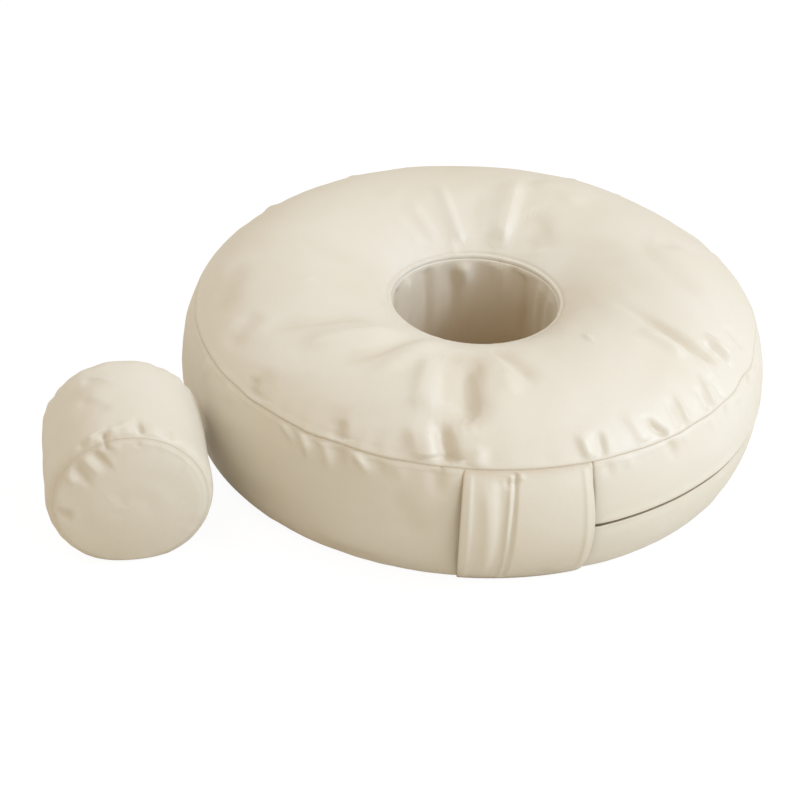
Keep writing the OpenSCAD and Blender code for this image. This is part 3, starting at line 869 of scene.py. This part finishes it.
# Liner and filling: hidden inside the cover, clear of its deepest folds and further in behind a zip
LINER_GAP, LINER_ZIP_GAP = 3 * MM, 11.5 * MM
FIBRE_GAP, FIBRE_ZIP_GAP = 6.5 * MM, 15 * MM


def lowest_nearby(lift):
    """The lowest lift a few points away, so that a layer below clears folds beside it too."""
    for axis in (0, 1):
        lift = np.minimum(lift, np.minimum(np.roll(lift, 3, axis), np.roll(lift, -3, axis)))
    return lift


def inner_layer(name, node, slot, gap, wall_gap, seed):
    """A closed ring set inside the cover by a gap, in metres."""
    parts = []
    for span in ORDER:
        sheet = ring[span]
        lift = lowest_nearby(((sheet.placed - sheet.points) * sheet.normals).sum(-1))
        lumps = 1.5 * MM * np.abs(smooth_noise(ring_angles, shares[span] * 4, 16, seed, 3))
        low = np.minimum(lift, 0) - (wall_gap if span == "wall" else gap) - lumps
        parts.append((sheet.points + sheet.normals * low[..., None])[::4, ::3][:, 1:-1])
    grid = np.concatenate(parts, 1)
    made = mesh_object(name, grid, grid_faces(*grid.shape[:2], loop_rows=True))
    piece(made, "ring", slot, [node])


inner_layer("ring_liner_bag", "ring_liner", "liner_cloth", LINER_GAP, LINER_ZIP_GAP, 51)
inner_layer("ring_fibre", "ring_filling", "fibre_filling", FIBRE_GAP, FIBRE_ZIP_GAP, 52)


# Stitches: short threads that dip into the cover at both ends
STITCH_SIDES = 6
STITCH_PITCH = 3.2 * MM
STITCH_LENGTH = 0.8
STITCH_ARCH, STITCH_SINK = 0.55 * MM, 0.45 * MM
THREAD_R = 0.32 * MM


def stitches(name, node, body, line, outward):
    """A closed row of stitches along a line of points."""
    closed = np.vstack([line, line[:1]])
    gone = np.concatenate([[0], np.cumsum(np.linalg.norm(np.diff(closed, axis=0), axis=1))])
    outward = np.vstack([outward, outward[:1]])
    count = int(gone[-1] / STITCH_PITCH)
    along = np.linspace(0, 1, 5)
    starts = np.arange(count)[:, None] * gone[-1] / count
    places = starts + along[None, :] * gone[-1] / count * STITCH_LENGTH
    at = np.stack([np.interp(places, gone, closed[:, i]) for i in range(3)], -1)
    up = np.stack([np.interp(places, gone, outward[:, i]) for i in range(3)], -1)
    up /= np.linalg.norm(up, axis=-1)[..., None]
    ahead = np.gradient(at, axis=1)
    ahead /= np.linalg.norm(ahead, axis=-1)[..., None]
    side = np.cross(ahead, up)
    arch = (STITCH_ARCH * np.sin(along * math.pi) - STITCH_SINK)[None, :, None]
    thick = (THREAD_R * np.array([0.45, 0.95, 1, 0.95, 0.45]))[None, :, None]
    middle = at + up * arch
    rings = []
    for k in range(STITCH_SIDES):
        a = 2 * math.pi * k / STITCH_SIDES
        rings.append(middle + (side * math.cos(a) + up * math.sin(a)) * thick)
    points = np.stack(rings, 2)
    base = np.arange(count)[:, None] * len(along) * STITCH_SIDES
    tube = grid_faces(len(along), STITCH_SIDES, loop_columns=False, loop_rows=True)
    sides = (base[:, :, None] + tube[None]).reshape(-1, 4).tolist()
    cap = np.arange(STITCH_SIDES)
    caps = (base + cap[::-1]).tolist() + (base + (len(along) - 1) * STITCH_SIDES + cap).tolist()
    piece(mesh_object(name, points, sides + caps), body, "sewing_thread", [node])


def seam_line(before, after):
    return before.placed[:, -1], before.normals[:, -1] + after.normals[:, 0]


stitches("ring_stitches_top", "ring_thread_top_outer", "ring", *seam_line(top, wall))
stitches("ring_stitches_low", "ring_thread_bottom_outer", "ring", *seam_line(wall, bottom))
stitches("ring_stitches_well_low", "ring_thread_bottom_hole", "ring", *seam_line(bottom, hole))
rim_row = int(np.abs(top.from_start - RIM_SEAM).argmin())
stitches("ring_stitches_well", "ring_thread_top_hole", "ring",
         top.placed[:, rim_row], top.normals[:, rim_row])


# ---- The bolster ----

# Its own angles run from its top towards its left side, the side with the zip
BOLSTER_R = 90 * MM
BOLSTER_END_R = 84 * MM
BOLSTER_HALF = 83 * MM
BOLSTER_SEAM = 75 * MM
SHOULDER_R = 30 * MM
ZIP_DOWN = 112
SLOT_HALF = 55 * MM
FLOOR_SOFT = 3 * MM
low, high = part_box("bolster_wrap")
bolster_mid = np.array([(low.x + high.x) / 2, (low.y + high.y) / 2, high.z - BOLSTER_R])
AXIS = -np.array(joints["bolster_zip_run"]["axis"])
SIDE = np.array([AXIS[1], -AXIS[0], 0])
UP = np.array([0, 0, 1.0])
shoulder_y = BOLSTER_SEAM - math.sqrt(SHOULDER_R**2 - (BOLSTER_END_R - BOLSTER_R + SHOULDER_R) ** 2)
dome_r = (BOLSTER_END_R**2 + (BOLSTER_HALF - BOLSTER_SEAM) ** 2) / (2 * (BOLSTER_HALF - BOLSTER_SEAM))
BOLSTER_COLUMNS = 256
bolster_angles = ZIP_DOWN + 360 / BOLSTER_COLUMNS * np.arange(BOLSTER_COLUMNS)
from_zip = np.abs((bolster_angles - ZIP_DOWN + 180) % 360 - 180)


def radial(angles):
    a = np.radians(np.asarray(angles, float))[..., None]
    return UP * np.cos(a) - SIDE * np.sin(a)


def on_floor(points):
    """Lets the bolster settle flat where it touches the floor."""
    points = np.array(points)
    points[..., 2] = FLOOR_SOFT * np.logaddexp(0, points[..., 2] / FLOOR_SOFT)
    return points


def wrap_radius(y):
    past = np.maximum(np.abs(y) - shoulder_y, 0)
    return BOLSTER_R - SHOULDER_R + np.sqrt(SHOULDER_R**2 - past**2)


def dome_y(r):
    return BOLSTER_HALF - dome_r + np.sqrt(dome_r**2 - r**2)


def on_wrap(angle, y_mm):
    y = y_mm * MM
    return bolster_mid + AXIS * y + radial(angle) * wrap_radius(y)


def on_near_end(angle, r_mm):
    r = r_mm * MM
    return bolster_mid - AXIS * dome_y(r) + radial(angle) * r


def bolster_sheet(y, r, slope_y, slope_r, at):
    """Revolves a profile round the bolster's axis. slope is the outward normal's two parts."""
    out = radial(bolster_angles)[:, None, :]
    points = bolster_mid + AXIS * y[None, :, None] + out * r[None, :, None]
    normals = AXIS * slope_y[None, :, None] + out * slope_r[None, :, None]
    return Sheet(points, normals / np.linalg.norm(normals, axis=2)[..., None], at)


WRAP_ROWS, END_ROWS = 81, 41
wrap_y = (clustered(WRAP_ROWS, 0.5) * 2 - 1) * BOLSTER_SEAM
wrap_past = np.maximum(np.abs(wrap_y) - shoulder_y, 0) * np.sign(wrap_y)
wrap = bolster_sheet(wrap_y, wrap_radius(wrap_y), wrap_past / SHOULDER_R,
                     np.sqrt(1 - (wrap_past / SHOULDER_R) ** 2), on_wrap)
wrap.from_start, wrap.from_end = wrap_y + BOLSTER_SEAM, BOLSTER_SEAM - wrap_y
DISC_HOLE = 1.5 * MM
end_share = np.sin(np.linspace(0, 1, END_ROWS) * math.pi / 2) ** 0.9
end_r = DISC_HOLE + (BOLSTER_END_R - DISC_HOLE) * end_share
tilt = np.sqrt(1 - (end_r / dome_r) ** 2)
near = bolster_sheet(-dome_y(end_r), end_r, -tilt, end_r / dome_r, on_near_end)
near.from_start, near.from_end = end_r, BOLSTER_END_R - end_r
far_r = end_r[::-1]
far = bolster_sheet(dome_y(far_r), far_r, tilt[::-1], far_r / dome_r, None)
far.from_start, far.from_end = BOLSTER_END_R - far_r, far_r

# Puckers at the bolster's near seam, and soft creases over its top
wrap.fold([(-7, -42), (-10, -63), (-11, -74)], -6, 3, 3.5, (0.4, 0.15))
wrap.fold([(1, -46), (0, -72)], 2.4, 6, 6, (0.5, 0.1))
wrap.fold([(-18, -48), (-19, -72)], 1.8, 6, 6, (0.5, 0.1))
wrap.fold([(-29, -50), (-31, -64), (-31, -73)], -2.6, 3, 3)
wrap.fold([(-38, -56), (-40, -74)], 1.2, 6, 6, (0.5, 0.1))
wrap.fold([(15, -62), (17.5, -75)], -6, 4, 3.5, (0.5, 0.01))
wrap.fold([(24, -56), (25, -75)], 2.8, 5, 5, (0.5, 0.05))
wrap.fold([(9, -54), (9, -75)], 2.6, 5, 5, (0.5, 0.05))
wrap.fold([(32, -60), (33, -75)], -2.4, 4, 4, (0.5, 0.05))
wrap.fold([(30, 46), (18, 36), (-4, 12)], -2.4, 4, 8, (0.4, 0.5))
wrap.fold([(34, 14), (20, -6), (8, -30)], -2, 7, 10)
wrap.fold([(40, 52), (30, 10), (26, -30)], -1.5, 12, 14)
wrap.fold([(-40, 40), (-50, 0), (-46, -40)], 1.2, 18, 18)
# The end panel's puckers run on from the seam towards its middle
near.fold([(17.5, 83), (18, 74)], -5, 4, 4, (0.01, 0.7))
near.fold([(27, 84), (23.5, 66), (18, 44)], -4, 4, 10, (0.05, 0.6))
near.fold([(36, 83), (35, 66), (34, 50)], 2.6, 7, 5, (0.05, 0.5))
near.fold([(45, 83), (49, 64), (55, 44)], -3, 7, 5, (0.05, 0.5))
near.fold([(55, 84), (60, 62)], 3, 6, 6, (0.1, 0.5))
near.fold([(10, 84), (9, 66)], 2.2, 5, 5, (0.05, 0.7))
near.fold([(-8, 84), (-8, 72)], -2.4, 4, 4, (0.05, 0.7))
near.fold([(-52, 84), (-56, 66)], 1.2, 4, 5, (0.05, 0.7))
near.fold([(92, 82), (100, 60)], -4.5, 7, 8, (0.05, 0.5))
near.fold([(70, 20), (0, 16), (-80, 40)], -1.4, 12, 12)
end_draw = smoothstep(end_r / (20 * MM)) * smoothstep((BOLSTER_END_R - end_r) / (14 * MM))
near.lift += 1.4 * MM * smooth_noise(bolster_angles, end_r / BOLSTER_END_R * 2, 5, 61) * end_draw
far.lift += 1.4 * MM * smooth_noise(bolster_angles, far_r / BOLSTER_END_R * 2, 6, 62) * end_draw[::-1]
wrap_draw = smoothstep(wrap.from_start / (20 * MM)) * smoothstep(wrap.from_end / (20 * MM))
wrap.lift += 1.3 * MM * smooth_noise(bolster_angles, wrap_y / BOLSTER_SEAM * 1.5, 6, 63) * wrap_draw


def bolster_ripple(seed):
    return random_waves(np.random.default_rng(seed), bolster_angles, range(9, 34, 2), 0)


gather(wrap, wrap.from_start, 1.0, 9, bolster_ripple(71))
gather(wrap, wrap.from_end, 3.2, 11, bolster_ripple(72))
gather(near, near.from_end, 1.0, 9, bolster_ripple(73))
gather(far, far.from_start, 3.0, 11, bolster_ripple(74))
bolster = (near, wrap, far)
near.from_seam, far.from_seam = near.from_end, far.from_start
wrap.from_seam = np.minimum(wrap.from_start, wrap.from_end)
for sheet in bolster:
    sheet.shift = sheet.normals * sheet.lift[..., None]
share_seam(near, wrap, 0.45, 0.25, 1.1, 26)
share_seam(wrap, far, 0.45, 0.4, 1.3, 26)
BOLSTER_CAP = 4 * MM
fill_cover(bolster, False, BOLSTER_CAP)
# The zip's slider runs close to the wrap, so the wrap stays in its place there
wrap.cloth *= (1 - 0.9 * bell(from_zip, 16))[:, None, None]
for sheet in bolster:
    sheet.placed = on_floor(sheet.points + sheet.shift + sheet.cloth + sheet.detail)

wrap_faces = grid_faces(BOLSTER_COLUMNS, WRAP_ROWS).reshape(BOLSTER_COLUMNS, WRAP_ROWS - 1, 4)
in_slot = np.zeros(wrap_faces.shape[:2], bool)
slot_rows = np.abs((wrap_y[1:] + wrap_y[:-1]) / 2) < SLOT_HALF
in_slot[0] = in_slot[-1] = slot_rows
bolster_body = mesh_object("bolster_cover_wrap", wrap.placed, wrap_faces[~in_slot])
shade(bolster_body, seam_shade(wrap))
piece(bolster_body, "bolster", "cover_leatherette", ["bolster_wrap"], COVER_MM)


def end_panel(name, node, sheet, centre_row):
    """An end panel, closed at its middle with a small fan."""
    faces = grid_faces(BOLSTER_COLUMNS, END_ROWS).tolist()
    points = sheet.placed.reshape(-1, 3)
    middle = sheet.placed[:, centre_row].mean(0)
    faces += fan(len(points), BOLSTER_COLUMNS, END_ROWS, centre_row, centre_row > 0)
    made = mesh_object(name, np.vstack([points, middle]), faces)
    shade(made, np.append(seam_shade(sheet).ravel(), 0))
    piece(made, "bolster", "cover_leatherette", [node], COVER_MM)


end_panel("bolster_cover_near", "bolster_end_near", near, 0)
end_panel("bolster_cover_far", "bolster_end_far", far, END_ROWS - 1)
stitches("bolster_stitches_near", "bolster_thread_near", "bolster", *seam_line(near, wrap))
stitches("bolster_stitches_far", "bolster_thread_far", "bolster", *seam_line(wrap, far))


def bolster_layer(name, node, slot, gap, zip_gap, seed):
    """A closed body set inside the bolster's cover, and further in beside the zip."""
    deeper = (zip_gap - gap) * smoothstep((34 - from_zip) / 14)
    rows = []
    for sheet in bolster:
        lift = lowest_nearby(np.minimum(sheet.lift, 0))
        share = np.linspace(0, 2, lift.shape[1])
        lumps = 1.2 * MM * np.abs(smooth_noise(bolster_angles, share, 9, seed, 2))
        low = lift - gap - lumps - deeper[:, None]
        inside = sheet.points + sheet.normals * low[..., None]
        inside = on_floor(inside - np.array([0, 0, gap])) + np.array([0, 0, gap])
        rows.append(inside[::4, ::3][:, 1:-1])
    grid = np.concatenate(rows, 1)
    columns, count = grid.shape[:2]
    hubs = [grid[:, 0].mean(0), grid[:, -1].mean(0)]
    faces = grid_faces(columns, count).tolist()
    faces += fan(columns * count, columns, count, 0, False)
    faces += fan(columns * count + 1, columns, count, count - 1, True)
    piece(mesh_object(name, np.vstack([grid.reshape(-1, 3), hubs]), faces), "bolster", slot, [node])


bolster_layer("bolster_liner_bag", "bolster_liner", "liner_cloth", LINER_GAP, LINER_ZIP_GAP, 81)
bolster_layer("bolster_fibre", "bolster_filling", "fibre_filling", FIBRE_GAP, FIBRE_ZIP_GAP, 82)


# ---- CAD parts that show as they are: zips ----

for node, obj in frame["nodes"].items():
    made = next((k for k in ("zip_tape", "zip_coil", "zip_metal", "cover_leatherette")
                 if obj.data.materials and obj.data.materials[0].name.startswith(k)), None)
    if made and not obj.hide_render:
        obj.data.materials.clear()
        obj.data.materials.append(MATERIALS[made])


# ---- Floor, light and camera ----

scene = bpy.context.scene
scene.view_settings.view_transform = "Standard"


def seen_and_unseen(tree, output, seen, unseen):
    """Ends a node tree with one shader for the camera and another for all other rays."""
    kinds = ("LightPath", "MixShader", output)
    rays, pick, out = (tree.nodes.new("ShaderNode" + kind) for kind in kinds)
    tree.links.new(rays.outputs["Is Camera Ray"], pick.inputs[0])
    tree.links.new(unseen.outputs[0], pick.inputs[1])
    tree.links.new(seen.outputs[0], pick.inputs[2])
    tree.links.new(pick.outputs[0], out.inputs[0])


def coloured(tree, kind, colour, strength=None):
    made = tree.nodes.new("ShaderNode" + kind)
    made.inputs["Color"].default_value = (*colour, 1)
    if strength is not None:
        made.inputs["Strength"].default_value = strength
    return made


def cleared(block):
    block.use_nodes = True
    block.node_tree.nodes.clear()
    return block.node_tree


# Near white with a soft shadow to the camera, and duller in the light the floor sends back
FLOOR_HALF, FLOOR_Z = 15, -0.5 * MM
SEEN_WHITE = 1.06
SHADOW_SHARE = 0.12
corners = ((-1, -1), (1, -1), (1, 1), (-1, 1))
corners = [(x * FLOOR_HALF, y * FLOOR_HALF, FLOOR_Z) for x, y in corners]
floor = mesh_object("floor", corners, [[0, 1, 2, 3]])
floor.data.materials.append(bpy.data.materials.new("floor"))
tree = cleared(floor.data.materials[0])
shown = tree.nodes.new("ShaderNodeMixShader")
shown.inputs[0].default_value = SHADOW_SHARE
glow = coloured(tree, "Emission", (1, 1, 1), SEEN_WHITE)
lit = coloured(tree, "BsdfDiffuse", (0.9, 0.9, 0.9))
tree.links.new(glow.outputs[0], shown.inputs[1])
tree.links.new(lit.outputs[0], shown.inputs[2])
seen_and_unseen(tree, "OutputMaterial", shown, coloured(tree, "BsdfDiffuse", (0.72, 0.68, 0.60)))

world = bpy.data.worlds.new("studio")
scene.world = world
tree = cleared(world)
seen_and_unseen(tree, "OutputWorld", coloured(tree, "Background", (1, 1, 1), SEEN_WHITE),
                coloured(tree, "Background", (1, 0.86, 0.665), 0.66))


def area_light(name, azimuth, elevation, distance, size, power, colour):
    """A square lamp aimed at the middle. Azimuth runs from the front towards the right."""
    lamp = bpy.data.lights.new(name, "AREA")
    lamp.size = size
    lamp.energy = power
    lamp.color = colour
    obj = bpy.data.objects.new(name, lamp)
    scene.collection.objects.link(obj)
    a, e = math.radians(azimuth), math.radians(elevation)
    spot = Vector((math.sin(a) * math.cos(e), -math.cos(a) * math.cos(e), math.sin(e))) * distance
    obj.location = spot
    obj.rotation_euler = (Vector((0, 0, 0.08)) - spot).to_track_quat("-Z", "Y").to_euler()


LAMP_COLOUR = (0.66, 0.8, 1)
area_light("key", 80, 38, 3.0, 1.0, 51, LAMP_COLOUR)
area_light("front", 38, 34, 3.0, 1.1, 16, LAMP_COLOUR)
area_light("back", -120, 50, 3.0, 1.2, 22, LAMP_COLOUR)

# The camera looks down at the ring from the front, with a slight roll
VIEW_DOWN = math.radians(34.6)
VIEW_DISTANCE = 2.338
VIEW_ROLL = 0.069
VIEW_PAN = 0.03628
LENS_PER_SENSOR = 2.3525
lens = bpy.data.cameras.new("camera")
lens.sensor_width = 36
lens.lens = lens.sensor_width * LENS_PER_SENSOR
camera = bpy.data.objects.new("camera", lens)
scene.collection.objects.link(camera)
scene.camera = camera
spot = Vector((0, -VIEW_DISTANCE * math.cos(VIEW_DOWN), VIEW_DISTANCE * math.sin(VIEW_DOWN)))
back_to = spot.normalized()
side = Vector((1, 0, 0))
turn = Matrix((side, back_to.cross(side), back_to)).transposed()
turn = turn @ Matrix.Rotation(VIEW_PAN, 3, "Y") @ Matrix.Rotation(VIEW_ROLL, 3, "Z")
camera.matrix_world = Matrix.Translation(spot) @ turn.to_4x4()
